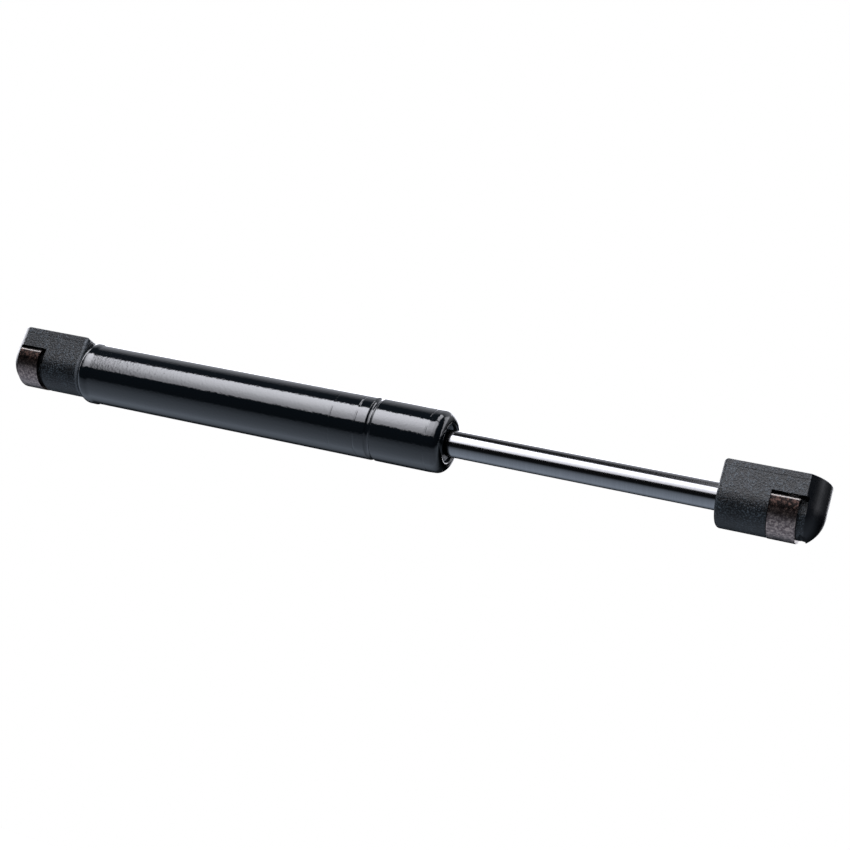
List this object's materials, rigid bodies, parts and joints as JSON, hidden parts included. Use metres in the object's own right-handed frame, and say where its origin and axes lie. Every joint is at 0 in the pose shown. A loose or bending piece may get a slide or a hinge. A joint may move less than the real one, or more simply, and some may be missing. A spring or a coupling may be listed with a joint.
{
  "type": "gas strut stay",
  "caption": "Gas strut stay: black tube, bright piston rod and a push-on ball socket with a spring clip at each end; holds a sash, flap or lid open",
  "frame": {"origin": "ball centre of the tube-end socket, on the strut axis", "axes": "+X along the strut to the rod end, +Z the way both ball sockets open, +Y completes the right-handed frame"},
  "size_m": [0.2634, 0.0196, 0.0196],
  "materials": {
    "tube_paint": "gloss black paint",
    "rod_plating": "ground and hard plated",
    "socket_plastic": "moulded with a fine grain",
    "clip_steel": "spring steel, mottled from tempering",
    "plug_steel": "turned",
    "seal_rubber": "smooth",
    "guide_plastic": "smooth, dark",
    "liner_bronze": "bronze backed, low friction",
    "piston_metal": "sintered",
    "ring_plastic": "filled low-friction plastic"
  },
  "bodies": {
    "cylinder": {"pressure_tube": "tube_paint", "end_plug": "plug_steel", "end_plug_o_ring": "seal_rubber", "tube_end_socket": "socket_plastic", "guide_bush": "guide_plastic", "guide_liner": "liner_bronze", "guide_o_ring": "seal_rubber", "rod_seal": "seal_rubber", "seal_washer": "plug_steel", "spacer_sleeve": "guide_plastic"},
    "ring": {"piston_ring": "ring_plastic"},
    "rod": {"piston_rod": "rod_plating", "stop_washer": "plug_steel", "flow_disc": "plug_steel", "piston": "piston_metal", "orifice_disc": "plug_steel", "back_washer": "plug_steel", "rod_end_socket": "socket_plastic"},
    "tube_clip": {"tube_end_clip": "clip_steel"},
    "rod_clip": {"rod_end_clip": "clip_steel"}
  },
  "joints": [
    {"name": "rod_slide", "type": "slide", "parent": "cylinder", "child": "ring", "axis": [1, 0, 0], "range_m": [-0.075, 0], "stiffness_N_per_m": 330, "springref_m": 0.2424},
    {"name": "rod_spin", "type": "hinge", "parent": "ring", "child": "rod", "pos_m": [0.1168, 0, 0], "axis": [1, 0, 0], "continuous": true},
    {"name": "tube_clip_lift", "type": "slide", "parent": "cylinder", "child": "tube_clip", "axis": [0, 0, -1], "range_m": [0, 0.003]},
    {"name": "rod_clip_lift", "type": "slide", "parent": "rod", "child": "rod_clip", "axis": [0, 0, -1], "range_m": [0, 0.003]}
  ]
}
